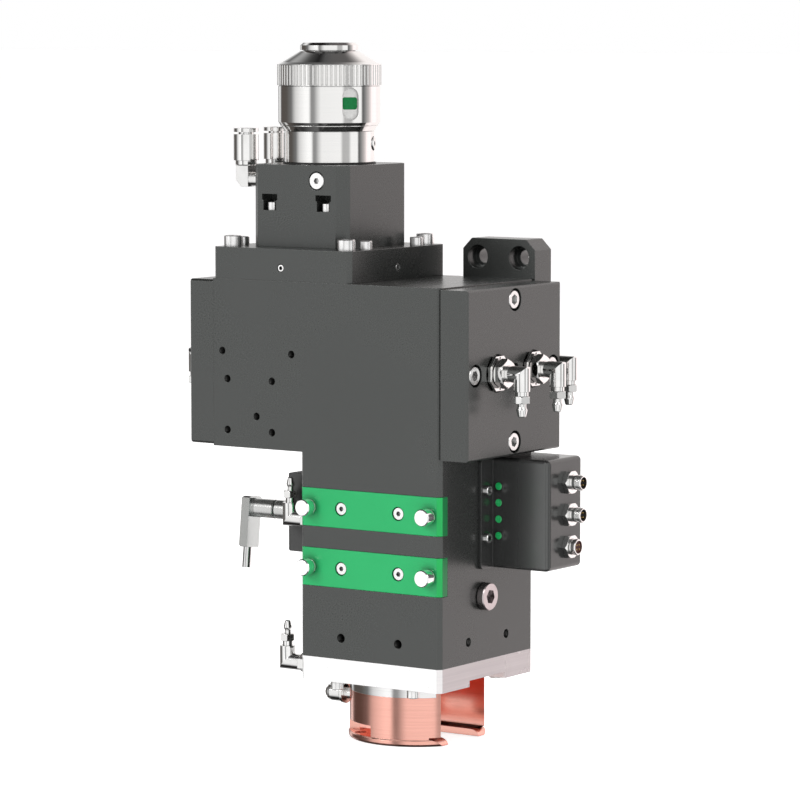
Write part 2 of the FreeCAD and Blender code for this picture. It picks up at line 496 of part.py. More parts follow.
# ================================================================= push-in elbows
def push_elbow(y):
    x = -105.2
    z = 270.2
    w = AX_IN - CB_H
    stem = lathe([(0, -7.2), (4.8, -7.2), (4.8, 0.0), (4.8, 0.0), (0, 0)], (w, y, z), (-1, 0, 0))
    stem = stem.fuse(lathe([(0, 0.0), (5.8, 0.0), (5.8, 2.6), (3.2, 2.6), (3.2, 4.0), (0, 4.0)], (w, y, z), (-1, 0, 0)))
    stem = stem.cut(cyl((w + 8, y, z), (-1, 0, 0), 2.4, 14))
    leg = lathe([(0, 4.2), (3.9, 4.2), (3.9, w - x), (0, w - x)], (w, y, z), (-1, 0, 0))
    # square elbow body, bevelled at its outer bottom corner, round sleeve above it
    w2 = Part.makePolygon([V(x + 4.1, y - 4.0, z - 4.1), V(x + 4.1, y - 4.0, z + 8.5), V(x - 4.1, y - 4.0, z + 8.5), V(x - 4.1, y - 4.0, z - 0.6), V(x - 0.6, y - 4.0, z - 4.1), V(x + 4.1, y - 4.0, z - 4.1)])
    sq = Part.Face(w2).extrude(V(0, 8.0, 0))
    up = revolve([(0, z + 7.6), (5.6, z + 7.6), (6.0, z + 8.1), (6.0, z + 10.4), (7.0, z + 10.4), (7.0, z + 24.9), (4.35, z + 24.9), (4.35, z + 9.6), (0, z + 9.6)], x, y)
    el = leg.fuse(sq).fuse(up)
    el = el.cut(cyl((w - 4, y, z), (-1, 0, 0), 2.2, w - x - 4)).cut(cyl((x, y, z), (0, 0, 1), 2.2, 10.5))
    # release collet: sleeve inside, flat ring on top
    rel = revolve([(4.05, z + 16.0), (4.25, z + 16.0), (4.25, z + 26.1), (6.9, z + 26.1), (6.9, z + 28.2), (4.05, z + 28.2)], x, y)
    return one(stem), one(el), one(rel)


st = []
for k, y in enumerate((-14.0, 14.0)):
    s_, e_, r_ = push_elbow(y)
    st.append(s_)
    nm = ("front", "rear")[k]
    put(nm + "_push_in_elbow", e_)
    put(nm + "_release_collet", r_)
put("push_in_stems", st)

# ================================================================= window drawers
for k, zc in enumerate(DR_Z):
    nm = ("upper", "lower")[k]
    fr = block(-H, H, -H, -H + DR_T, zc - DR_H / 2, zc + DR_H / 2, [CH, CH, 0, 0])
    for sx in (-1, 1):
        fr = fr.cut(cyl((sx * 39.0, -H - 1, zc), (0, 1, 0), 2.1, 10))
        fr = fr.cut(cyl((sx * 18.7, -H - 1, zc), (0, 1, 0), 2.1, 10))
        fr = fr.cut(cyl((sx * 18.7, -H - 1, zc), (0, 1, 0), 3.75, 4.4))
    put(nm + "_drawer_front", fr)
    y0, y1 = -H + DR_T, 27.0
    tr = box(-26.9, 26.9, y0, y1, zc - 7.0, zc + 7.0)
    tr = rounded(tr, 4.0, lambda p, e: abs(p.y - y1) < 1e-6 and abs(p.z - zc) < 1e-6)
    tr = tr.cut(cyl((0, 0, zc - 8), (0, 0, 1), 16.0, 16)).cut(cyl((0, 0, zc - 4.6), (0, 0, 1), 18.6, 14))
    for sx in (-1, 1):
        tr = tr.cut(cyl((sx * 18.7, y0 - 1, zc), (0, 1, 0), 2.1, 10.5))
    put(nm + "_drawer_tray", tr)
    put(nm + "_window", revolve([(0, zc - 4.5), (18.2, zc - 4.5), (18.5, zc - 4.2), (18.5, zc + 2.0), (18.2, zc + 2.3), (0, zc + 2.3)], 0, 0))
    put(nm + "_window_seal", revolve([(16.4, zc + 2.4), (18.5, zc + 2.4), (18.5, zc + 5.8), (17.4, zc + 6.2), (16.4, zc + 5.8)], 0, 0))
    put(nm + "_drawer_screws", [cap_screw((sx * 18.7, -H + 3.4, zc), (0, -1, 0), 4.0, 7.0, 2.9, 12.5, 2.5, 9 * sx) for sx in (-1, 1)])
    for sx, sn in ((-1, "left"), (1, "right")):
        kn = revolve([(0, -11.5), (1.5, -11.5), (2.0, -11.0), (2.0, 0.25), (4.1, 0.25), (4.1, 1.2), (3.2, 1.2), (3.2, 2.2), (4.5, 2.2), (4.6, 2.5), (4.6, 7.4), (4.1, 8.0), (0, 8.0)])
        put(nm + "_" + sn + "_thumb_screw", place(kn, (sx * 39.0, -H, zc), (0, -1, 0)))

# ================================================================= focus lens in the lower body
put("focus_lens_barrel", revolve([(17.6, 108.1), (20.9, 108.1), (20.9, 124.0), (18.8, 124.0), (18.8, 111.4), (17.6, 111.4)], 0, 0))
put("focus_lens", revolve([(0, 111.0), (5.0, 111.15), (10.0, 111.6), (15.0, 112.4), (17.5, 112.95), (18.6, 113.0), (18.6, 117.0), (17.5, 117.05), (15.0, 117.6), (10.0, 118.4), (5.0, 118.85), (0, 119.0)], 0, 0))
put("focus_lens_ring", revolve([(16.9, 119.2), (18.7, 119.2), (18.7, 122.2), (16.9, 122.2)], 0, 0))

# ================================================================= plug, electronics box
pl = revolve([(0, -9.5), (4.8, -9.5), (4.8, 0.0), (7.1, 0.0), (7.6, 0.5), (7.6, 3.9), (7.1, 4.4), (0, 4.4)])
pl = pl.cut(hexagon(7.0, 4.0, 1.6))
put("purge_port_plug", place(pl, (H, -3.5, 47.8), (1, 0, 0), 20))

fl = box(H, H + 2.0, -9.4, 44.3, EB_Z0, EB_Z1)
fl = rounded(fl, 2.5, lambda p, e: abs(p.x - (H + 1.0)) < 1e-6)
hb = box(H + 2.0, EB_X1, EB_Y0, EB_Y1, EB_Z0, EB_Z1)
hb = rounded(hb, 2.7, lambda p, e: abs(p.x - EB_X1) < 1e-6)
hb = rounded(hb, 2.0, lambda p, e: abs(p.x - (H + 2.0 + EB_X1) / 2) < 2.5)
hb = hb.cut(box(H + 2.0 - 1, EB_X1 - 2.5, EB_Y0 + 2.2, EB_Y1 - 2.2, EB_Z0 + 2.2, EB_Z1 - 2.2))
fl = fl.cut(box(H - 1, H + 3, EB_Y0 + 2.2, EB_Y1 - 2.2, EB_Z0 + 2.2, EB_Z1 - 2.2))
eb = fl.fuse(hb)
for y, z in EB_SCREWS:
    eb = eb.cut(cyl((H - 1, y, z), (1, 0, 0), 1.6, 4))
LED_X = 51.7
LED_Z = (107.5, 98.5, 89.6, 80.6)
for z in LED_Z:
    eb = eb.cut(cyl((LED_X, EB_Y0 - 1, z), (0, 1, 0), 2.05, 6))
CONN_Y = 22.0
CONN_Z = (110.0, 92.5, 75.0)
for z in CONN_Z:
    eb = eb.cut(cyl((EB_X1 - 5, CONN_Y, z), (1, 0, 0), 4.15, 8))
put("electronics_box", eb)
m3 += [cap_screw((H + 2.0, y, z), (1, 0, 0), 3.0, 5.5, 3.0, 16.0, 2.5, 25 * k) for k, (y, z) in enumerate(EB_SCREWS)]
put("status_lights", [revolve([(0, 0), (2.0, 0), (2.0, 2.6), (1.7, 2.9), (0, 2.9)]).transformed(
    FreeCAD.Placement(V(LED_X, EB_Y0 + 2.5, z), FreeCAD.Rotation(V(0, 0, 1), V(0, -1, 0))).toMatrix(), True) for z in LED_Z])
put("circuit_board", box(54.0, 78.0, 30.4, 32.0, 68.0, 118.0))


def round_connector(z, female):
    """Panel connector: threaded shell, nut against the face, insert with contacts."""
    p = (EB_X1, CONN_Y, z)
    if not female:
        sh = [(2.9, -6.0), (4.0, -6.0), (4.0, 9.4), (3.7, 9.8), (3.2, 9.8), (3.2, 1.5), (2.9, 1.5)]
    else:
        sh = [(3.0, -6.0), (4.0, -6.0), (4.0, 3.3), (4.4, 3.6), (4.4, 6.4), (4.1, 6.8), (3.5, 6.8), (3.5, 1.5), (3.0, 1.5)]
    shell = lathe(sh, p, (1, 0, 0))
    nut = hexagon(12.0, 3.2, 0.0).common(revolve([(0, 0), (6.95, 0), (6.95, 2.4), (6.2, 3.2), (0, 3.2)])).cut(cyl((0, 0, -1), (0, 0, 1), 3.8, 6))
    nut = place(nut, p, (1, 0, 0), 30)
    shell = shell.fuse(nut)
    ins_top = 5.6 if not female else 6.2
    r_in = 3.15 if not female else 3.45
    insert = lathe([(0, -5.0), (2.85, -5.0), (2.85, 1.6), (r_in, 1.6), (r_in, ins_top), (0, ins_top)], p, (1, 0, 0))
    for k in range(4):
        a = math.radians(45 + 90 * k)
        q = (EB_X1 + 1.5, CONN_Y + 1.7 * math.cos(a), z + 1.7 * math.sin(a))
        insert = insert.cut(cyl(q, (1, 0, 0), 0.45, 8))
    return one(shell), one(insert)


shells, inserts = [], []
for k, z in enumerate(CONN_Z):
    a, b = round_connector(z, k == 2)
    shells.append(a)
    inserts.append(b)
put("connector_inserts", inserts)

# ================================================================= sensor housing and angled plug
sb = box(-68.4, -H, -27.0, -7.0, 66.6, 110.0)
sb = rounded(sb, 2.5, lambda p, e: abs(p.x + 68.4) < 1e-6)
for y, z in SENS_SCREWS:
    sb = sb.cut(cyl((-69.4, y, z), (1, 0, 0), 1.7, 25)).cut(cyl((-69.4, y, z), (1, 0, 0), 3.1, 18.4))
sb = sb.cut(cyl((-69.4, SENS_Y, SENS_Z), (1, 0, 0), 4.15, 14))
put("sensor_housing", sb)
m3 += [cap_screw((-51.0, y, z), (-1, 0, 0), 3.0, 5.5, 3.0, 16.0, 2.5, 18 * k) for k, (y, z) in enumerate(SENS_SCREWS)]
# threaded socket in the housing
shells.append(one(lathe([(2.7, -12.0), (4.05, -12.0), (4.05, 0.0), (4.6, 0.0), (4.6, 1.8), (3.9, 1.8), (3.9, 8.0), (2.7, 8.0)], (-68.4, SENS_Y, SENS_Z), (-1, 0, 0))))
put("connector_shells", shells)
# plain round coupling nut of the plug
cn = lathe([(4.05, 2.4), (4.7, 2.4), (5.3, 3.0), (5.3, 12.8), (4.5, 13.6), (3.3, 13.6), (3.3, 10.4), (4.05, 10.4)], (-68.4, SENS_Y, SENS_Z), (-1, 0, 0))
put("angled_plug_nut", cn)
# angled plug: barrel on the socket axis, flat limb hanging down, leaning 6.5 degrees to the front
LEAN = 6.5
barrel = lathe([(0, -3.4), (2.6, -3.4), (2.6, 10.2), (3.0, 10.2), (3.0, 14.4), (4.9, 14.4), (5.3, 14.8), (5.3, 30.0), (0, 30.0)], (-68.4, SENS_Y, SENS_Z), (-1, 0, 0))
limb = box(-103.0, -97.7, -5.7, 5.7, -22.2, 6.2)
limb = bevelled(limb, 1.0, lambda p, e: abs(p.x + 103.0) < 1e-6 and abs(p.y) < 1e-6 or (abs(p.z - 6.2) < 1e-6 and abs(p.y) > 5))
limb = limb.fuse(box(-98.0, -92.6, -5.3, 5.3, -5.3, 3.0).common(cyl((-99, 0, 0), (1, 0, 0), 5.3, 8)))
mlean = FreeCAD.Placement(V(0, SENS_Y, SENS_Z), FreeCAD.Rotation(V(1, 0, 0), -LEAN)).toMatrix()
limb = limb.transformed(mlean, True)
put("angled_plug_body", barrel.fuse(limb))
# short cable stub with a cut end, as the object shows it
ls = math.radians(LEAN)
cdir = V(0, -math.sin(ls), -math.cos(ls))
cstart = V(-101.1, SENS_Y, SENS_Z) + cdir * 22.2
put("cable_stub", Part.makeCylinder(2.35, 11.5, cstart, cdir))

# ================================================================= nozzle plate, collar, shroud
npl = block(-H, H, -H, H, 0, NP_T, CH)
npl = npl.cut(cyl((0, 0, -1), (0, 0, 1), 14.0, 20))
npl = npl.cut(box(18.0, H + 1, -17.4, 17.4, -1, 3.4))
for x, y in NP_SCREWS:
    npl = npl.cut(cyl((x, y, -1), (0, 0, 1), 2.2, 20))
npl = npl.cut(cyl((-H - 1, -36.5, 7.0), (1, 0, 0), 2.6, 7.0)).cut(cyl((-H - 1, -36.5, 7.0), (1, 0, 0), 1.6, 24.0))
COLLAR_SCREWS = [(33.0 * math.cos(math.radians(a)), 33.0 * math.sin(math.radians(a))) for a in (125, 180, 235)]
for x, y in COLLAR_SCREWS:
    npl = npl.cut(cyl((x, y, -1), (0, 0, 1), 1.6, 8.0))
put("nozzle_plate", npl)
m4 += [cap_screw((x, y, 0.0), (0, 0, -1), 4.0, 7.0, 4.8, 23.0, 3.0, 13 * k) for k, (x, y) in enumerate(NP_SCREWS)]
put("m4_cap_screws", m4)

COL_Z = -6.8
collar = tube((0, 0, COL_Z), (0, 0, 1), SH_R, 30.1, -COL_Z)
collar = collar.cut(box(0, 60, -SH_CH - 2.1, SH_CH + 2.1, COL_Z - 1, 1))
for x, y in COLLAR_SCREWS:
    collar = collar.cut(cyl((x, y, COL_Z - 1), (0, 0, 1), 1.6, 10))
put("shroud_collar", collar)

sh = revolve([(0, FZB), (36.6, FZB), (37.2, FZB + 0.4), (37.6, FZB + 1.3), (37.6, FZT - 0.6), (SH_R, FZT), (SH_R, COL_Z), (0, COL_Z)])
boss = cyl((0, 0, COL_Z - 1), (0, 0, 1), 30.0, -COL_Z + 1)
boss = boss.fuse(cyl((0, 0, COL_Z - 1), (0, 0, 1), SH_R, -COL_Z + 1).common(box(0, 60, -SH_CH - 2.0, SH_CH + 2.0, COL_Z - 2, 1)))
sh = sh.fuse(boss)
# air channel, closed behind at -X and open towards +X, narrower through the foot flange, with a groove at its foot
sh = sh.cut(box(-24.0, 60, -SH_CH, SH_CH, FZT, 1))
sh = sh.cut(box(-24.0, 60, -FL_CH, FL_CH, FZB - 1, FZT + 1))
sh = sh.cut(box(-20.0, 60, -26.5, 26.5, FZT, -28.7))
# open ends of the foot flange rounded down towards +X
ex0, ex1 = 25.0, 30.6
pts = [V(ex0 + (ex1 - ex0) * math.sin(math.radians(t)), -50, FZB + (FZT - FZB) * math.cos(math.radians(t))) for t in (0, 12, 22, 37, 47, 57, 65, 78, 90)]
w = Part.makePolygon(pts + [V(ex1, -50, FZB - 2), V(60, -50, FZB - 2), V(60, -50, FZT), pts[0]])
sh = sh.cut(Part.Face(w).extrude(V(0, 100, 0)))
# side window in the front wall, over the flange
sh = sh.cut(box(-60, -5.7, -60, -SH_CH + 1, FZT, -23.6))
JET_Y, JET_Z = -14.0, -11.7
sh = sh.cut(cyl((-50, JET_Y, JET_Z), (1, 0, 0), 3.2, 40))
for x, y in COLLAR_SCREWS:
    sh = sh.cut(cyl((x, y, FZB - 1), (0, 0, 1), 1.7, 40)).cut(cyl((x, y, FZB - 1), (0, 0, 1), 3.2, -12.0 - FZB + 1))
put("copper_shroud", sh)
m3 += [cap_screw((x, y, -12.0), (0, 0, -1), 3.0, 5.5, 3.0, 16.0, 2.5, 10 * k) for k, (x, y) in enumerate(COLLAR_SCREWS)]
put("m3_cap_screws", m3)
# cross-jet nozzle: domed body outside, jet tube through the rear wall of the channel
jn = revolve([(0, -16.5), (3.1, -16.5), (3.1, 0.0), (5.7, 0.0), (5.7, 1.6), (5.0, 2.2), (5.0, 8.6), (4.7, 10.3), (4.0, 11.6), (3.0, 12.5), (1.6, 13.0), (0, 13.1)])
jn = place(jn, (-37.3, JET_Y, JET_Z), (-1, 0, 0))
jn = jn.cut(cyl((-15, JET_Y, JET_Z), (-1, 0, 0), 1.0, 24))
put("cross_jet_nozzle", jn)

print("nodes", len(NODES))
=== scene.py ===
import json
import math

import bmesh
import bpy
from mathutils import Matrix, Vector


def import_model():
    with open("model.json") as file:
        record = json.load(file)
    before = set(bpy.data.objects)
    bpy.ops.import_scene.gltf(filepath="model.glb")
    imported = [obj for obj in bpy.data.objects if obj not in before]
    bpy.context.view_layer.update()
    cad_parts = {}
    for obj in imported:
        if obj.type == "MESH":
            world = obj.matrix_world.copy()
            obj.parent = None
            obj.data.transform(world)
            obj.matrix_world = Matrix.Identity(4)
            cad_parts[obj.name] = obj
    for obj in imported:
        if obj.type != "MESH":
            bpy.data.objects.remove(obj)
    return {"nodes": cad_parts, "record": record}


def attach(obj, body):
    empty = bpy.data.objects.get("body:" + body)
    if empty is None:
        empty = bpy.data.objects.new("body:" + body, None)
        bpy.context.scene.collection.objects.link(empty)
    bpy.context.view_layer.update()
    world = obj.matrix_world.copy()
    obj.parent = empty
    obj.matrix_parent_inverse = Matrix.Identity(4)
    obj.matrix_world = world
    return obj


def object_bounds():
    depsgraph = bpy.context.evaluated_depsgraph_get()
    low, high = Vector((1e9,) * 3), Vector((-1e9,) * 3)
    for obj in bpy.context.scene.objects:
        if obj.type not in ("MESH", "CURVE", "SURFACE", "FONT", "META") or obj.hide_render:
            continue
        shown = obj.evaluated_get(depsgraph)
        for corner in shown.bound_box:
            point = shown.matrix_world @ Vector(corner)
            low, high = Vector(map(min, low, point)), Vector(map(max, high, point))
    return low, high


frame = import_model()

CAD_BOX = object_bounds()
NODES = frame["nodes"]


# ------------------------------------------------------------------ material builder
class Mat:
    """A small helper that grows one node material."""

    def __init__(self, name):
        self.m = bpy.data.materials.new(name)
        self.m.use_nodes = True
        self.nt = self.m.node_tree
        self.nt.nodes.clear()
        self.out = self.new("ShaderNodeOutputMaterial")
        self.b = self.new("ShaderNodeBsdfPrincipled")
        self.link(self.b.outputs[0], self.out.inputs[0])
        self.obj = self.new("ShaderNodeTexCoord").outputs["Object"]

    def new(self, kind, **kw):
        n = self.nt.nodes.new(kind)
        for k, v in kw.items():
            setattr(n, k, v)
        return n

    def link(self, a, b):
        self.nt.links.new(a, b)

    def put(self, socket, value):
        if hasattr(value, "links"):
            self.link(value, socket)
        else:
            socket.default_value = value

    def mapped(self, scale=(1, 1, 1), loc=(0, 0, 0), rot=(0, 0, 0)):
        n = self.new("ShaderNodeMapping")
        self.link(self.obj, n.inputs["Vector"])
        n.inputs["Scale"].default_value = scale
        n.inputs["Location"].default_value = loc
        n.inputs["Rotation"].default_value = rot
        return n.outputs[0]

    def noise(self, scale, detail=3.0, rough=0.5, vec=None):
        n = self.new("ShaderNodeTexNoise")
        self.link(vec if vec is not None else self.obj, n.inputs["Vector"])
        n.inputs["Scale"].default_value = scale
        n.inputs["Detail"].default_value = detail
        n.inputs["Roughness"].default_value = rough
        return n.outputs["Fac"]

    def voronoi(self, scale, vec=None, feature="F1"):
        n = self.new("ShaderNodeTexVoronoi", feature=feature)
        self.link(vec if vec is not None else self.obj, n.inputs["Vector"])
        n.inputs["Scale"].default_value = scale
        return n.outputs["Distance"]

    def math(self, op, a, b=0.0, c=0.0, clamp=False):
        n = self.new("ShaderNodeMath", operation=op, use_clamp=clamp)
        self.put(n.inputs[0], a)
        self.put(n.inputs[1], b)
        self.put(n.inputs[2], c)
        return n.outputs[0]

    def range(self, v, a0, a1, b0, b1, smooth=False):
        n = self.new("ShaderNodeMapRange", clamp=True)
        if smooth:
            n.interpolation_type = "SMOOTHSTEP"
        self.put(n.inputs["Value"], v)
        n.inputs["From Min"].default_value = a0
        n.inputs["From Max"].default_value = a1
        n.inputs["To Min"].default_value = b0
        n.inputs["To Max"].default_value = b1
        return n.outputs["Result"]

    def mix(self, fac, a, b, mode="MIX"):
        n = self.new("ShaderNodeMix", data_type="RGBA", blend_type=mode)
        self.put(n.inputs["Factor"], fac)
        for sock, v in ((n.inputs["A"], a), (n.inputs["B"], b)):
            pass
        ca = [s for s in n.inputs if s.name == "A" and s.type == "RGBA"][0]
        cb = [s for s in n.inputs if s.name == "B" and s.type == "RGBA"][0]
        for s, v in ((ca, a), (cb, b)):
            if hasattr(v, "links"):
                self.link(v, s)
            else:
                s.default_value = (*v, 1.0) if len(v) == 3 else v
        return [s for s in n.outputs if s.type == "RGBA"][0]

    def ramp(self, fac, stops, interp="LINEAR"):
        n = self.new("ShaderNodeValToRGB")
        n.color_ramp.interpolation = interp
        e = n.color_ramp.elements
        while len(e) > 1:
            e.remove(e[-1])
        e[0].position, e[0].color = stops[0][0], (*stops[0][1], 1.0)
        for p, c in stops[1:]:
            k = e.new(p)
            k.color = (*c, 1.0)
        self.link(fac, n.inputs["Fac"])
        return n.outputs["Color"]

    def xyz(self):
        n = self.new("ShaderNodeSeparateXYZ")
        self.link(self.obj, n.inputs[0])
        return n.outputs

    def edge(self, radius, samples=4):
        """(mask of the edges, softened normal)"""
        bev = self.new("ShaderNodeBevel", samples=samples)
        bev.inputs["Radius"].default_value = radius
        geo = self.new("ShaderNodeNewGeometry")
        d = self.new("ShaderNodeVectorMath", operation="DOT_PRODUCT")
        self.link(bev.outputs[0], d.inputs[0])
        self.link(geo.outputs["Normal"], d.inputs[1])
        return self.range(d.outputs["Value"], 0.998, 0.86, 0.0, 1.0), bev.outputs[0]

    def hollow(self, distance, samples=4):
        """1 in the open, falling to 0 in crevices and sockets"""
        n = self.new("ShaderNodeAmbientOcclusion", samples=samples, only_local=False)
        n.inputs["Distance"].default_value = distance
        return n.outputs["AO"]

    def facing(self, axis, sign, low, high):
        """1 where the surface faces along one axis, 0 elsewhere"""
        geo = self.new("ShaderNodeNewGeometry")
        sep = self.new("ShaderNodeSeparateXYZ")
        self.link(geo.outputs["Normal"], sep.inputs[0])
        return self.range(self.math("MULTIPLY", sep.outputs[axis], sign), low, high, 0.0, 1.0)

    def bump(self, height, distance, strength=1.0, normal=None):
        n = self.new("ShaderNodeBump")
        n.inputs["Strength"].default_value = strength
        n.inputs["Distance"].default_value = distance
        self.link(height, n.inputs["Height"])
        if normal is not None:
            self.link(normal, n.inputs["Normal"])
        return n.outputs[0]

    def set(self, **kw):
        for k, v in kw.items():
            name = k.replace("_", " ")
            s = self.b.inputs[name]
            if hasattr(v, "links"):
                self.link(v, s)
            elif isinstance(v, (tuple, list)) and len(v) == 3:
                s.default_value = (*v, 1.0)
            else:
                s.default_value = v
        return self


def satin_black(name, dark, light, edge_c, rough, grain=1400.0, edge_amount=0.55, radius=0.0005, painted_front_light=None):
    """Bead-blasted, black anodised aluminium: slight mottling, fine grain, painted highlights along the edges, painted
    shade in crevices and, if asked, a painted light ramp across the front faces.
    """
    k = Mat(name)
    cloud = k.noise(9.0, 4.0, 0.55)
    fine = k.noise(grain, 2.0, 0.6)
    base = k.mix(k.range(cloud, 0.35, 0.65, 0.0, 1.0), dark, light)
    base = k.mix(k.range(fine, 0.3, 0.75, 0.0, 0.10), base, tuple(min(1.0, c * 1.5) for c in light))
    # painted light: front (-Y) faces lightened towards the +X end, for the brighter reflection there
    if painted_front_light:
        painted_light_sweep = k.math("MULTIPLY", k.facing(1, -1.0, 0.7, 0.95), k.range(k.xyz()[0], painted_front_light[0], painted_front_light[1], 0.0, 1.0, True))
        base = k.mix(painted_light_sweep, base, (painted_front_light[2],) * 3)
    # painted highlight: edges lightened towards edge_c in noisy patches, for light catching the rounded edges
    mask, soft = k.edge(radius)
    painted_edge_highlight = k.math("MULTIPLY", mask, k.range(k.noise(60.0, 3.0, 0.6), 0.3, 0.7, 0.45 * edge_amount, edge_amount))
    base = k.mix(painted_edge_highlight, base, edge_c)
    # painted shade: crevices and sockets (ambient occlusion) darkened towards near-black
    base = k.mix(k.range(k.hollow(0.004), 0.35, 0.9, 0.7, 0.0), base, (0.006, 0.006, 0.006))
    k.set(Base_Color=base, Metallic=0.0,
          Roughness=k.math("ADD", k.range(cloud, 0.3, 0.7, rough - 0.03, rough + 0.03), k.range(fine, 0.3, 0.7, -0.012, 0.012)))
    k.b.inputs["IOR"].default_value = 1.75
    k.b.inputs["Specular IOR Level"].default_value = 0.5
    k.b.inputs["Specular Tint"].default_value = (0.965, 1.0, 0.98, 1.0)
    k.link(k.bump(fine, 0.000003, 0.4, soft), k.b.inputs["Normal"])
    return k.m


def turned(name, low, high, rough, lines=2600.0, wide=260.0, depth=0.000004, smear=0.05, edge_c=None, radius=0.0002, centre=(0, 0)):
    """Metal turned about a vertical axis: very fine rings along Z, faint wider bands, soft smears."""
    k = Mat(name)
    rings = k.noise(1.0, 2.0, 0.5, k.mapped(scale=(22.0, 22.0, lines)))
    bands = k.noise(1.0, 2.0, 0.5, k.mapped(scale=(6.0, 6.0, wide)))
    marks = k.noise(55.0, 4.0, 0.6)
    base = k.mix(k.range(rings, 0.25, 0.75, 0.0, 1.0), low, high)
    base = k.mix(k.range(marks, 0.55, 0.8, 0.0, 0.25), base, low)
    mask, soft = k.edge(radius, 3)
    # painted highlight: edges lightened towards edge_c where one is given
    if edge_c:
        base = k.mix(k.math("MULTIPLY", mask, 0.5), base, edge_c)
    r = k.math("ADD", k.range(bands, 0.35, 0.65, rough - 0.02, rough + 0.02), k.range(marks, 0.4, 0.8, 0.0, smear))
    # painted shade: crevices (ambient occlusion) darkened
    base = k.mix(k.range(k.hollow(0.003), 0.25, 0.8, 0.75, 0.0), base, tuple(c * 0.12 for c in low))
    k.set(Base_Color=base, Metallic=1.0, Roughness=r)
    k.link(k.bump(rings, depth, 0.5, soft), k.b.inputs["Normal"])
    return k.m


def plated(name, low, high, rough, smear=0.06, grain=900.0, depth=0.000002, radius=0.00015, crevice=0.55, reach=0.0013, faced=0.0):
    """Bright plated or polished metal with a trace of handling marks."""
    k = Mat(name)
    marks = k.noise(130.0, 4.0, 0.6)
    fine = k.noise(grain, 3.0, 0.6)
    base = k.mix(k.range(marks, 0.4, 0.75, 0.0, 1.0), high, low)
    # painted shade: crevices and sockets darkened, by up to crevice, within reach
    base = k.mix(k.range(k.hollow(reach), 0.15, 0.75, crevice, 0.0), base, tuple(c * 0.08 for c in low))
    _, soft = k.edge(radius, 3)
    r = k.math("ADD", k.range(marks, 0.35, 0.8, rough, rough + smear), k.range(fine, 0.3, 0.7, 0.0, 0.02))
    metal = 1.0
    if faced:
        # front ends are fine-blasted, so they look paler and duller than the turned flanks
        front = k.facing(1, -1.0, 0.93, 0.99)
        r = k.math("ADD", r, k.math("MULTIPLY", front, 0.25))
        metal = k.math("SUBTRACT", 1.0, k.math("MULTIPLY", front, faced))
    k.set(Base_Color=base, Metallic=metal, Roughness=r)
    k.link(k.bump(fine, depth, 0.35, soft), k.b.inputs["Normal"])
    return k.m


M = {}
M["anodised_body"] = satin_black("anodised_body", (0.019, 0.020, 0.019), (0.023, 0.024, 0.023), (0.11, 0.108, 0.105), 0.27)
# the box front gets a painted light ramp towards +X
M["box_paint"] = satin_black("box_paint", (0.019, 0.019, 0.019), (0.022, 0.022, 0.022), (0.10, 0.10, 0.10), 0.20, grain=1100.0, edge_amount=0.4, painted_front_light=(0.058, 0.080, 0.050))
M["black_tray"] = satin_black("black_tray", (0.02, 0.02, 0.02), (0.026, 0.026, 0.026), (0.1, 0.1, 0.1), 0.42)


def green_bar():
    k = Mat("green_anodised")
    cloud = k.noise(14.0, 3.0, 0.5)
    fine = k.noise(1500.0, 2.0, 0.6)
    base = k.mix(k.range(cloud, 0.35, 0.65, 0.0, 1.0), (0.008, 0.365, 0.108), (0.011, 0.405, 0.122))
    base = k.mix(k.range(fine, 0.35, 0.75, 0.0, 0.15), base, (0.03, 0.46, 0.16))
    mask, soft = k.edge(0.0006)
    # painted highlight: edges lightened slightly
    base = k.mix(k.math("MULTIPLY", mask, 0.35), base, (0.012, 0.42, 0.11))
    # painted shading: +X-facing bevels and ends painted deeper green, +X end faces painted darker, painted shade round
    # the screws and in crevices
    base = k.mix(k.facing(0, 1.0, 0.3, 0.6), base, (0.003, 0.40, 0.085))
    base = k.mix(k.math("MULTIPLY", k.facing(0, 1.0, 0.86, 0.97), 0.8), base, (0.003, 0.11, 0.035))
    base = k.mix(k.range(k.hollow(0.0045), 0.35, 0.95, 0.75, 0.0), base, (0.001, 0.06, 0.02))
    k.set(Base_Color=base, Metallic=0.0, Roughness=k.range(fine, 0.3, 0.7, 0.30, 0.37))
    k.b.inputs["Specular IOR Level"].default_value = 0.4
    k.link(k.bump(fine, 0.00001, 0.5, soft), k.b.inputs["Normal"])
    return k.m


M["green_anodised"] = green_bar()


def milled(name, low, high, rough):
    """Bare aluminium, milled: fine straight tool marks along X and Y, faint clouding."""
    k = Mat(name)
    a = k.noise(1.0, 2.0, 0.5, k.mapped(scale=(9.0, 9.0, 1500.0)))
    b = k.noise(1.0, 2.0, 0.5, k.mapped(scale=(1300.0, 12.0, 12.0)))
    cloud = k.noise(35.0, 3.0, 0.5)
    h = k.math("ADD", k.math("MULTIPLY", a, 0.6), k.math("MULTIPLY", b, 0.4))
    base = k.mix(k.range(h, 0.4, 0.6, 0.0, 1.0), low, high)
    mask, soft = k.edge(0.0003)
    # painted highlight: edges lightened towards near-white
    base = k.mix(k.math("MULTIPLY", mask, 0.4), base, (0.96, 0.96, 0.96))
    # painted shade: +X-facing faces painted a darker, pinkish grey for how light falls on that side
    side = k.facing(0, 1.0, 0.6, 0.9)
    base = k.mix(side, base, k.mix(k.range(a, 0.35, 0.65, 0.0, 1.0), (0.50, 0.455, 0.46), (0.55, 0.50, 0.505)))
    k.set(Base_Color=base, Metallic=0.4, Roughness=k.range(cloud, 0.3, 0.7, rough - 0.04, rough + 0.04))
    k.link(k.bump(h, 0.000004, 0.4, soft), k.b.inputs["Normal"])
    return k.m


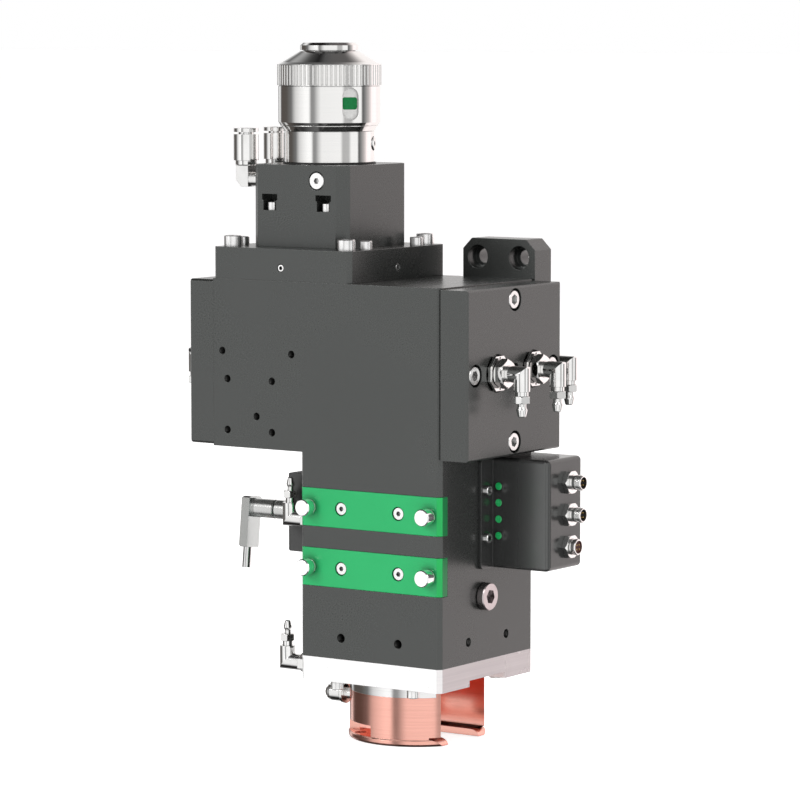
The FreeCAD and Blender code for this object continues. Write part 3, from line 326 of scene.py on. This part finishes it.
M["bare_aluminium"] = milled("bare_aluminium", (0.90, 0.895, 0.895), (0.95, 0.945, 0.945), 0.28)
M["copper"] = turned("copper", (0.86, 0.435, 0.355), (0.92, 0.485, 0.400), 0.17, lines=1500.0, wide=120.0, depth=0.0000006, smear=0.02, edge_c=(0.98, 0.68, 0.58))
M["receiver_steel"] = turned("receiver_steel", (0.80, 0.795, 0.785), (0.84, 0.83, 0.815), 0.07, lines=3000.0, wide=90.0, depth=0.0000004, smear=0.02, radius=0.00012)
M["collar_steel"] = turned("collar_steel", (0.78, 0.775, 0.77), (0.85, 0.845, 0.84), 0.08, lines=2600.0, wide=90.0, depth=0.0000005, smear=0.02)
M["nickel"] = plated("nickel", (0.80, 0.795, 0.785), (0.88, 0.875, 0.865), 0.035, smear=0.03, depth=0.000001, radius=0.00022)
M["screw_steel"] = plated("screw_steel", (0.80, 0.795, 0.79), (0.88, 0.875, 0.87), 0.20, smear=0.06, crevice=0.95, reach=0.0034, faced=0.6)
M["plug_steel"] = plated("plug_steel", (0.50, 0.445, 0.45), (0.57, 0.51, 0.515), 0.16, smear=0.05, crevice=0.95, reach=0.0045)
M["thumb_steel"] = plated("thumb_steel", (0.90, 0.90, 0.90), (0.97, 0.97, 0.97), 0.05, smear=0.03, depth=0.000001, faced=0.75)
M["ring_metal"] = turned("ring_metal", (0.26, 0.26, 0.27), (0.34, 0.34, 0.35), 0.28, lines=1800.0)


def plug():
    k = Mat("plug_metal")
    grain = k.noise(700.0, 4.0, 0.65)
    cloud = k.noise(40.0, 3.0, 0.5)
    base = k.mix(k.range(cloud, 0.3, 0.7, 0.0, 1.0), (0.60, 0.60, 0.59), (0.68, 0.68, 0.67))
    # painted light: +X-facing faces painted a cooler grey, as a lit side
    base = k.mix(k.math("MULTIPLY", k.facing(0, 1.0, 0.9, 0.99), 0.9), base, (0.615, 0.675, 0.665))
    # painted shade: front (-Y) faces of the part left of x = -0.0952 painted darker
    base = k.mix(k.math("MULTIPLY", k.math("MULTIPLY", k.facing(1, -1.0, 0.55, 0.95), k.range(k.xyz()[0], -0.0952, -0.0945, 1.0, 0.0)), 0.85), base, (0.34, 0.345, 0.335))
    mask, soft = k.edge(0.0004)
    # painted highlight: edges lightened
    base = k.mix(k.math("MULTIPLY", mask, 0.4), base, (0.85, 0.85, 0.84))
    k.set(Base_Color=base, Metallic=0.9, Roughness=k.range(grain, 0.3, 0.7, 0.09, 0.15))
    k.link(k.bump(grain, 0.000003, 0.4, soft), k.b.inputs["Normal"])
    return k.m


M["plug_metal"] = plug()


def moulded(name, dark, light, rough, grain=520.0, depth=0.00002, edge_c=None, radius=0.0004):
    """Fine spark-eroded texture of moulded plastic."""
    k = Mat(name)
    g = k.voronoi(grain * 2.2)
    f = k.noise(grain, 3.0, 0.6)
    cloud = k.noise(22.0, 2.0, 0.5)
    base = k.mix(k.range(cloud, 0.35, 0.65, 0.0, 1.0), dark, light)
    base = k.mix(k.range(f, 0.45, 0.75, 0.0, 0.3), base, tuple(min(1.0, c * 1.6) for c in light))
    mask, soft = k.edge(radius)
    # painted shading along the edges, towards edge_c (darker for the black plastic)
    if edge_c:
        base = k.mix(k.math("MULTIPLY", mask, 0.6), base, edge_c)
    k.set(Base_Color=base, Metallic=0.0, Roughness=k.range(f, 0.3, 0.7, rough - 0.05, rough + 0.05))
    k.link(k.bump(k.math("ADD", g, f), depth, 0.4, soft), k.b.inputs["Normal"])
    return k.m


M["black_plastic"] = moulded("black_plastic", (0.040, 0.040, 0.040), (0.050, 0.050, 0.050), 0.42, edge_c=(0.012, 0.012, 0.012))
M["seal"] = moulded("seal", (0.012, 0.012, 0.012), (0.02, 0.02, 0.02), 0.55)
M["cable"] = plated("cable", (0.60, 0.60, 0.60), (0.72, 0.72, 0.715), 0.10, smear=0.05)


def insert():
    k = Mat("insert")
    f = k.noise(900.0, 3.0, 0.6)
    z = k.xyz()[2]
    low = k.range(z, 0.0815, 0.0825, 1.0, 0.0)
    base = k.mix(low, (0.012, 0.012, 0.012), (0.050, 0.012, 0.008))
    base = k.mix(k.range(f, 0.4, 0.75, 0.0, 0.2), base, (0.03, 0.025, 0.022))
    k.b.inputs["Specular IOR Level"].default_value = 0.2
    k.set(Base_Color=base, Roughness=k.range(f, 0.3, 0.7, 0.35, 0.5))
    k.link(k.bump(f, 0.00001, 0.4), k.b.inputs["Normal"])
    return k.m


M["insert"] = insert()


def indicator():
    """Light grey ring with one rounded green field in line with the window."""
    k = Mat("indicator")
    a = math.radians(60.0)
    cx = -0.0585
    x, y, z = k.xyz()
    dx = k.math("SUBTRACT", x, cx)
    t = k.math("ADD", k.math("MULTIPLY", dx, math.cos(a)), k.math("MULTIPLY", y, math.sin(a)))
    d = k.math("SUBTRACT", k.math("MULTIPLY", dx, math.sin(a)), k.math("MULTIPLY", y, math.cos(a)))
    r = 0.0014
    qx = k.math("MAXIMUM", k.math("SUBTRACT", k.math("ABSOLUTE", t), 0.0045 - r), 0.0)
    qz = k.math("MAXIMUM", k.math("SUBTRACT", k.math("ABSOLUTE", k.math("SUBTRACT", z, 0.3128)), 0.00335 - r), 0.0)
    dist = k.math("SQRT", k.math("ADD", k.math("MULTIPLY", qx, qx), k.math("MULTIPLY", qz, qz)))
    inside = k.range(dist, r + 0.00006, r - 0.00006, 0.0, 1.0)
    front = k.range(d, 0.0, 0.001, 0.0, 1.0)
    mark = k.math("MULTIPLY", inside, front)
    f = k.noise(700.0, 3.0, 0.6)
    grey = k.mix(k.range(f, 0.35, 0.7, 0.0, 1.0), (0.60, 0.60, 0.59), (0.68, 0.68, 0.67))
    green = k.mix(k.range(f, 0.35, 0.7, 0.0, 1.0), (0.002, 0.150, 0.036), (0.004, 0.195, 0.050))
    k.set(Base_Color=k.mix(mark, grey, green), Roughness=k.range(f, 0.3, 0.7, 0.35, 0.45))
    k.b.inputs["Specular IOR Level"].default_value = 0.2
    k.link(k.bump(k.math("ADD", k.math("MULTIPLY", mark, 0.6), k.math("MULTIPLY", f, 0.2)), 0.00004, 0.5), k.b.inputs["Normal"])
    return k.m


M["indicator"] = indicator()


def glassy(name, tint, ior):
    k = Mat(name)
    f = k.noise(300.0, 2.0, 0.5)
    k.set(Base_Color=k.mix(k.range(f, 0.4, 0.6, 0.0, 1.0), tint, tuple(min(1.0, c * 1.02) for c in tint)), Roughness=k.range(f, 0.3, 0.7, 0.0, 0.02))
    k.b.inputs["Transmission Weight"].default_value = 1.0
    k.b.inputs["IOR"].default_value = ior
    return k.m


M["glass"] = glassy("glass", (0.95, 0.985, 0.965), 1.458)


def mirror_face():
    k = Mat("mirror")
    f = k.noise(60.0, 3.0, 0.5)
    k.set(Base_Color=k.mix(k.range(f, 0.35, 0.65, 0.0, 1.0), (0.92, 0.86, 0.76), (0.94, 0.90, 0.82)), Metallic=1.0, Roughness=k.range(f, 0.3, 0.7, 0.02, 0.04))
    return k.m


M["mirror"] = mirror_face()


def lamp():
    k = Mat("lamp")
    f = k.noise(1400.0, 2.0, 0.5)
    v = k.voronoi(1600.0)
    c = k.mix(k.range(f, 0.3, 0.7, 0.0, 1.0), (0.010, 0.300, 0.075), (0.016, 0.380, 0.105))
    k.set(Base_Color=c, Roughness=k.range(f, 0.3, 0.7, 0.2, 0.3))
    k.b.inputs["Coat Weight"].default_value = 0.4
    k.b.inputs["Coat Roughness"].default_value = 0.1
    k.b.inputs["Emission Color"].default_value = (0.012, 0.36, 0.10, 1.0)
    k.b.inputs["Emission Strength"].default_value = 0.12
    k.link(k.bump(v, 0.00002, 0.3), k.b.inputs["Normal"])
    return k.m


M["lamp"] = lamp()


def board():
    k = Mat("board")
    tr = k.new("ShaderNodeTexBrick")
    k.link(k.mapped(scale=(1, 1, 1)), tr.inputs["Vector"])
    tr.inputs["Scale"].default_value = 260.0
    tr.inputs["Mortar Size"].default_value = 0.03
    f = k.noise(500.0, 2.0, 0.5)
    base = k.mix(k.range(f, 0.35, 0.7, 0.0, 1.0), (0.006, 0.10, 0.035), (0.012, 0.16, 0.06))
    base = k.mix(k.math("MULTIPLY", tr.outputs["Fac"], 0.6), base, (0.03, 0.30, 0.12))
    k.set(Base_Color=base, Roughness=k.range(f, 0.3, 0.7, 0.25, 0.35))
    k.link(k.bump(tr.outputs["Fac"], 0.00004, 0.4), k.b.inputs["Normal"])
    return k.m


M["board"] = board()
M["thread_metal"] = plated("thread_metal", (0.035, 0.035, 0.035), (0.075, 0.075, 0.073), 0.30)
M["contact_gold"] = plated("contact_gold", (0.85, 0.62, 0.26), (0.95, 0.74, 0.36), 0.14)

SLOT_OF = {}
for mat_entry in frame["record"].get("materials", []):
    SLOT_OF[mat_entry.get("slot")] = mat_entry

WEAR = {
    "anodised_body": "main_body right_end_cover left_end_cover rear_mounting_plate centring_plate collimator_block",
    "mirror": "fold_mirrors",
    "nickel": "hose_elbows hose_clamp_nuts front_push_in_elbow rear_push_in_elbow front_release_collet rear_release_collet "
              "push_in_stems connector_shells cross_jet_nozzle",
    "collar_steel": "shroud_collar",
    "screw_steel": "m6_cap_screws m4_cap_screws m3_cap_screws side_centring_screw front_centring_screw receiver_screws "
                   "upper_drawer_screws lower_drawer_screws",
    "plug_steel": "purge_port_plug",
    "bare_aluminium": "centring_frame collimator_lens_cell nozzle_plate",
    "glass": "collimator_lens focus_lens upper_window lower_window",
    "ring_metal": "collimator_lens_ring focus_lens_barrel focus_lens_ring",
    "seal": "receiver_seal upper_window_seal lower_window_seal",
    "receiver_steel": "receiver_housing receiver_top_collar fibre_lock_ring",
    "indicator": "lock_indicator_sleeve",
    "green_anodised": "upper_drawer_front lower_drawer_front",
    "black_tray": "upper_drawer_tray lower_drawer_tray",
    "thumb_steel": "upper_left_thumb_screw upper_right_thumb_screw lower_left_thumb_screw lower_right_thumb_screw",
    "box_paint": "electronics_box",
    "lamp": "status_lights",
    "board": "circuit_board",
    "insert": "connector_inserts",
    "black_plastic": "sensor_housing",
    "plug_metal": "angled_plug_nut angled_plug_body",
    "cable": "cable_stub",
    "copper": "copper_shroud",
}
for finish, names in WEAR.items():
    for n in names.split():
        for s in NODES[n].material_slots:
            s.material = M[finish]


# ------------------------------------------------------------------ small pieces modelled here
def turned_shapes(name, items, material, steps=28):
    """One mesh of closed turned rings and pins.  Each item is (position, axis, [(radius, along), ...])."""
    verts, faces = [], []
    for pos, axis, prof in items:
        q = Vector((0, 0, 1)).rotation_difference(Vector(axis))
        n = len(prof)
        rings = []
        for r, z in prof:
            if r <= 1e-9:
                rings.append([len(verts)])
                verts.append(Vector(pos) + q @ Vector((0, 0, z)))
                continue
            first = len(verts)
            for i in range(steps):
                a = 2.0 * math.pi * i / steps
                verts.append(Vector(pos) + q @ Vector((r * math.cos(a), r * math.sin(a), z)))
            rings.append(list(range(first, first + steps)))
        closed = prof[0][0] > 1e-9 and prof[-1][0] > 1e-9
        for k in range(n if closed else n - 1):
            a, b = rings[k], rings[(k + 1) % n]
            for i in range(steps):
                j = (i + 1) % steps
                if len(a) == 1 and len(b) == 1:
                    continue
                if len(a) == 1:
                    faces.append((a[0], b[j], b[i]))
                elif len(b) == 1:
                    faces.append((a[i], a[j], b[0]))
                else:
                    faces.append((a[i], a[j], b[j], b[i]))
    me = bpy.data.meshes.new(name)
    me.from_pydata([tuple(v) for v in verts], [], faces)
    bm = bmesh.new()
    bm.from_mesh(me)
    bmesh.ops.recalc_face_normals(bm, faces=bm.faces)
    bm.to_mesh(me)
    bm.free()
    for poly in me.polygons:
        poly.use_smooth = True
    me.set_sharp_from_angle(angle=math.radians(32.0))
    o = bpy.data.objects.new(name, me)
    bpy.context.scene.collection.objects.link(o)
    me.materials.append(M[material])
    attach(o, "head")
    return o


def signal_contacts():
    """Contact pins of the two upper round sockets and the sleeves of the lower one."""
    pins, sleeves = [], []
    for z in (0.1100, 0.0925):
        for k in range(4):
            a = math.radians(45 + 90 * k)
            pins.append(((0.0835, 0.022 + 0.0017 * math.cos(a), z + 0.0017 * math.sin(a)), (1, 0, 0),
                         [(0, 0.0030), (0.00036, 0.0030), (0.00036, 0.0086), (0.00026, 0.0089), (0.0001, 0.0090), (0, 0.0090)]))
    for k in range(4):
        a = math.radians(45 + 90 * k)
        sleeves.append(((0.0835, 0.022 + 0.0017 * math.cos(a), 0.0750 + 0.0017 * math.sin(a)), (1, 0, 0),
                        [(0.00026, 0.0032), (0.00042, 0.0032), (0.00042, 0.0064), (0.00026, 0.0064)]))
    turned_shapes("signal_pins", pins, "contact_gold", 16)
    turned_shapes("signal_sleeves", sleeves, "contact_gold", 16)


def ridges(r0, r1, a, b, pitch):
    """Closed profile of thread ridges between along = a and b: r0 at the wall, r1 at the crests."""
    prof = [(r0, a)]
    n = int((b - a) / pitch)
    for k in range(n):
        z = a + k * pitch
        prof += [(r0 + (r1 - r0) * 0.15, z + pitch * 0.08), (r1, z + pitch * 0.44), (r1, z + pitch * 0.56), (r0 + (r1 - r0) * 0.15, z + pitch * 0.92)]
    prof += [(r0, a + n * pitch)]
    return prof


def threads():
    """Thread ridges in the open tapped holes of the body and on the round sockets."""
    holes = []
    for x, z in ((-98.3, 177.2), (-51.5, 177.2), (-94.8, 161.9), (-64.6, 161.9), (-75.0, 142.1), (-94.8, 133.8), (-64.6, 133.8)):
        holes.append(((x / 1000, -0.046, z / 1000), (0, 1, 0), ridges(0.00208, 0.00182, 0.0007, 0.0085, 0.0008)))
    for v in (-0.0187, 0.0187):
        holes.append(((v, -0.046, 0.0245), (0, 1, 0), ridges(0.00248, 0.00215, 0.0008, 0.0110, 0.0010)))
        holes.append(((0.046, v, 0.0245), (-1, 0, 0), ridges(0.00248, 0.00215, 0.0008, 0.0110, 0.0010)))
    turned_shapes("tapped_threads", holes, "thread_metal", 24)
    shells = []
    for z in (0.1100, 0.0925):
        shells.append(((0.0835, 0.022, z), (1, 0, 0), ridges(0.00401, 0.00422, 0.0062, 0.0094, 0.0008)))
    turned_shapes("socket_threads", shells, "nickel", 32)


signal_contacts()
threads()


# ------------------------------------------------------------------ camera
def camera():
    cam = bpy.data.objects.new("camera", bpy.data.cameras.new("camera"))
    bpy.context.scene.collection.objects.link(cam)
    back = Vector((0.5626, -0.8212, 0.0959)).normalized()
    right = Vector((0.8250, 0.5652, 0.0))
    right = (right - back * right.dot(back)).normalized()
    up = back.cross(right)
    cam.matrix_world = Matrix(((right.x, up.x, back.x, 1.2015), (right.y, up.y, back.y, -1.7704),
                               (right.z, up.z, back.z, 0.3577), (0, 0, 0, 1)))
    cam.data.lens = 177.26
    cam.data.sensor_width = 36.0
    cam.data.clip_start, cam.data.clip_end = 0.05, 200.0
    bpy.context.scene.camera = cam


camera()


# ------------------------------------------------------------------ floor and light
def floor():
    me = bpy.data.meshes.new("floor")
    s = 40.0
    z = CAD_BOX[0].z - 0.0002
    me.from_pydata([(-s, -s, z), (s, -s, z), (s, s, z), (-s, s, z)], [], [(0, 1, 2, 3)])
    o = bpy.data.objects.new("floor", me)
    bpy.context.scene.collection.objects.link(o)
    k = Mat("floor")
    f = k.noise(3.0, 3.0, 0.5)
    k.set(Base_Color=k.mix(f, (0.86, 0.86, 0.86), (0.88, 0.88, 0.88)), Roughness=0.95)
    k.b.inputs["Specular IOR Level"].default_value = 0.0
    k.b.inputs["Emission Color"].default_value = (1, 1, 1, 1)
    k.b.inputs["Emission Strength"].default_value = 0.66
    me.materials.append(k.m)
    o.visible_glossy = False
    return o


floor()


def world():
    w = bpy.data.worlds.new("studio")
    bpy.context.scene.world = w
    w.use_nodes = True
    nt = w.node_tree
    nt.nodes.clear()
    new, link = nt.nodes.new, nt.links.new
    out, bg = new("ShaderNodeOutputWorld"), new("ShaderNodeBackground")
    plain, pick, path = new("ShaderNodeBackground"), new("ShaderNodeMixShader"), new("ShaderNodeLightPath")
    tc, sep = new("ShaderNodeTexCoord"), new("ShaderNodeSeparateXYZ")
    link(tc.outputs["Generated"], sep.inputs[0])
    neg = new("ShaderNodeMath"); neg.operation = "MULTIPLY"; neg.inputs[1].default_value = -1.0
    link(sep.outputs[1], neg.inputs[0])
    at = new("ShaderNodeMath"); at.operation = "ARCTAN2"
    link(sep.outputs[0], at.inputs[0]); link(neg.outputs[0], at.inputs[1])
    tofac = new("ShaderNodeMapRange")
    tofac.inputs["From Min"].default_value, tofac.inputs["From Max"].default_value = -math.pi, math.pi
    link(at.outputs[0], tofac.inputs["Value"])
    ramp = new("ShaderNodeValToRGB")
    # soft boxes and dark gaps round the object; the angle runs from the front (0) towards +X (90)
    def g(v, r=1.0, b=1.0):
        return (v * r, v, v * b)

    stops = [(-180, g(1.10, 1.08, 0.98)), (-150, g(1.05, 1.03, 0.99)), (-138, g(0.85)), (-130, g(0.12)), (-121, g(0.7)), (-113, g(1.1)),
             (-106, g(0.25)), (-100, g(0.09, 1.15, 0.9)), (-77, g(0.10, 1.1, 0.92)), (-60, g(0.20)), (-47, g(0.78)), (-34, g(1.02)),
             (-21, g(1.20)), (-12, g(1.20)), (-6, g(0.30)), (1, g(0.36)), (8, g(0.72)), (16, g(1.04)), (64, g(1.08)), (70, g(0.55)),
             (86, g(0.58)), (93, g(1.1)), (112, g(1.1)), (116, g(0.10)), (124, g(0.28)), (137, g(0.62, 1.08, 0.99)),
             (144, g(1.15, 1.10, 1.0)), (160, g(1.25, 1.10, 1.0)), (172, g(1.1, 1.08, 1.0))]
    e = ramp.color_ramp.elements
    while len(e) > 1:
        e.remove(e[-1])
    e[0].position, e[0].color = 0.0, (*stops[0][1], 1)
    for a, c in stops[1:]:
        k = e.new((a + 180.0) / 360.0)
        k.color = (*c, 1)
    link(tofac.outputs["Result"], ramp.inputs["Fac"])
    # darker overhead and underneath
    el = new("ShaderNodeMath"); el.operation = "ABSOLUTE"
    link(sep.outputs[2], el.inputs[0])
    fall = new("ShaderNodeMapRange"); fall.interpolation_type = "SMOOTHSTEP"
    for n, v in (("From Min", 0.52), ("From Max", 0.82), ("To Min", 1.0), ("To Max", 0.11)):
        fall.inputs[n].default_value = v
    link(el.outputs[0], fall.inputs["Value"])
    mul = new("ShaderNodeVectorMath"); mul.operation = "SCALE"
    link(ramp.outputs["Color"], mul.inputs[0]); link(fall.outputs["Result"], mul.inputs["Scale"])
    link(mul.outputs[0], bg.inputs["Color"])
    bg.inputs["Strength"].default_value = 1.0
    plain.inputs["Color"].default_value = (1, 1, 1, 1)
    plain.inputs["Strength"].default_value = 1.0
    link(path.outputs["Is Camera Ray"], pick.inputs[0])
    link(bg.outputs[0], pick.inputs[1]); link(plain.outputs[0], pick.inputs[2])
    link(pick.outputs[0], out.inputs[0])


world()


def soft_box(name, place, size, power, colour=(1, 1, 1), aim=(0, 0, 0.15)):
    d = bpy.data.lights.new(name, "AREA")
    d.shape, d.size, d.size_y, d.energy, d.color = "RECTANGLE", size[0], size[1], power, colour
    o = bpy.data.objects.new(name, d)
    bpy.context.scene.collection.objects.link(o)
    o.location = place
    o.rotation_mode = "QUATERNION"
    o.rotation_quaternion = (Vector(aim) - Vector(place)).to_track_quat("-Z", "Y")
    return o


soft_box("key_front_left", (-1.2, -2.6, 1.9), (1.6, 1.2), 38.0)
soft_box("fill_right", (2.4, -0.9, 1.6), (1.0, 1.0), 6.0, (1.0, 0.97, 0.96))
soft_box("top", (0.0, 0.2, 2.6), (1.4, 1.4), 26.0).visible_glossy = False

bpy.context.scene.view_settings.view_transform = "Standard"
bpy.context.scene.view_settings.look = "None"
bpy.context.scene.view_settings.exposure = 0.0
bpy.context.scene.view_settings.gamma = 1.0
